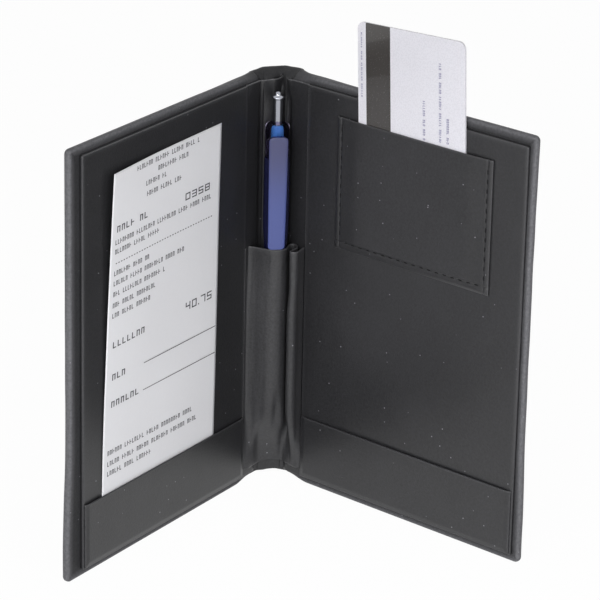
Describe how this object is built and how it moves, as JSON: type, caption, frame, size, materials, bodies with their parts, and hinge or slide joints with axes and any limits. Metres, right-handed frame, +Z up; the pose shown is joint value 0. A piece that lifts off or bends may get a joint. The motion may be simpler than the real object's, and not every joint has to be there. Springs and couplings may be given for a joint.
{
  "type": "guest check presenter",
  "caption": "Leatherette folder standing open in a V: hinged covers, foot pockets, stitched card pocket, spine pen sleeve with click pen, payment card and paper check.",
  "frame": {"origin": "on the table, under the middle of the folder's bounding box as it stands open", "axes": "+X to the right as the open folder is read, +Y away from the reader towards the spine, +Z up along the spine"},
  "size_m": [0.1798, 0.1024, 0.2073],
  "materials": {
    "leatherette": "fine grained black leatherette",
    "liner_leatherette": "fine grained black leatherette, thin",
    "greyboard": "grey binder's board",
    "thread": "black polyester thread",
    "navy_plastic": "dark blue translucent plastic",
    "frosted_clip": "frosted blue plastic",
    "blue_collar": "light blue translucent plastic",
    "chrome": "polished chrome plate",
    "white_plastic": "moulded plastic",
    "spring_steel": "drawn spring wire",
    "card_plastic": "laminated white plastic card",
    "magnetic_stripe": "dark magnetic stripe",
    "check_paper": "white receipt paper, printed in grey"
  },
  "bodies": {
    "spine": {"spine_board": "greyboard", "spine_skin": "leatherette", "spine_liner": "liner_leatherette", "pen_sleeve": "liner_leatherette", "left_hinge_strip": "leatherette", "right_hinge_strip": "leatherette", "left_liner_fold": "liner_leatherette", "right_liner_fold": "liner_leatherette", "sleeve_left_wing": "liner_leatherette", "sleeve_right_pleat": "liner_leatherette"},
    "left_cover": {"left_board": "greyboard", "left_cover_skin": "leatherette", "left_filler_card": "greyboard", "left_liner": "liner_leatherette", "left_foot_pocket": "liner_leatherette"},
    "right_cover": {"right_board": "greyboard", "right_cover_skin": "leatherette", "right_filler_card": "greyboard", "right_liner": "liner_leatherette", "right_foot_pocket": "liner_leatherette", "card_pocket": "liner_leatherette", "card_pocket_stitching": "thread"},
    "pen": {"pen_barrel": "navy_plastic", "pen_nose": "chrome", "pen_cap": "navy_plastic", "pen_collar": "blue_collar", "pen_clip": "frosted_clip", "pen_spring": "spring_steel"},
    "plunger": {"pen_plunger": "chrome", "pen_cam": "white_plastic"},
    "refill": {"pen_refill": "white_plastic"},
    "card": {"payment_card": "card_plastic", "card_stripe": "magnetic_stripe"},
    "check": {"paper_check": "check_paper"}
  },
  "joints": [
    {"name": "left_cover_hinge", "type": "hinge", "parent": "spine", "child": "left_cover", "pos_m": [-0.00547, 0.04237, 0.088], "axis": [0, 0, 1], "range_deg": [-49.2, 40.8], "deforming": ["left_hinge_strip", "left_liner_fold", "sleeve_left_wing"]},
    {"name": "right_cover_hinge", "type": "hinge", "parent": "spine", "child": "right_cover", "pos_m": [0.00547, 0.04237, 0.088], "axis": [0, 0, -1], "range_deg": [-49.2, 40.8], "deforming": ["right_hinge_strip", "right_liner_fold", "sleeve_right_pleat"]},
    {"name": "pen_slide", "type": "slide", "parent": "spine", "child": "pen", "axis": [0, 0, 1], "range_m": [0, 0.11]},
    {"name": "pen_click", "type": "slide", "parent": "pen", "child": "plunger", "axis": [0, 0, -1], "range_m": [0, 0.0035], "stiffness_N_per_m": 300, "springref_m": -0.003, "deforming": ["pen_spring"]},
    {"name": "refill_feed", "type": "slide", "parent": "pen", "child": "refill", "axis": [0, 0, -1], "range_m": [0, 0.0035]},
    {"name": "card_slide", "type": "slide", "parent": "right_cover", "child": "card", "axis": [-0.0308, 0.0357, 0.9989], "range_m": [-0.007, 0.085]},
    {"name": "check_slide", "type": "slide", "parent": "left_cover", "child": "check", "axis": [0.0148, 0.0172, 0.9997], "range_m": [0, 0.05]}
  ],
  "couplings": [
    {"joint": "refill_feed", "follows": "pen_click", "ratio": 1}
  ]
}
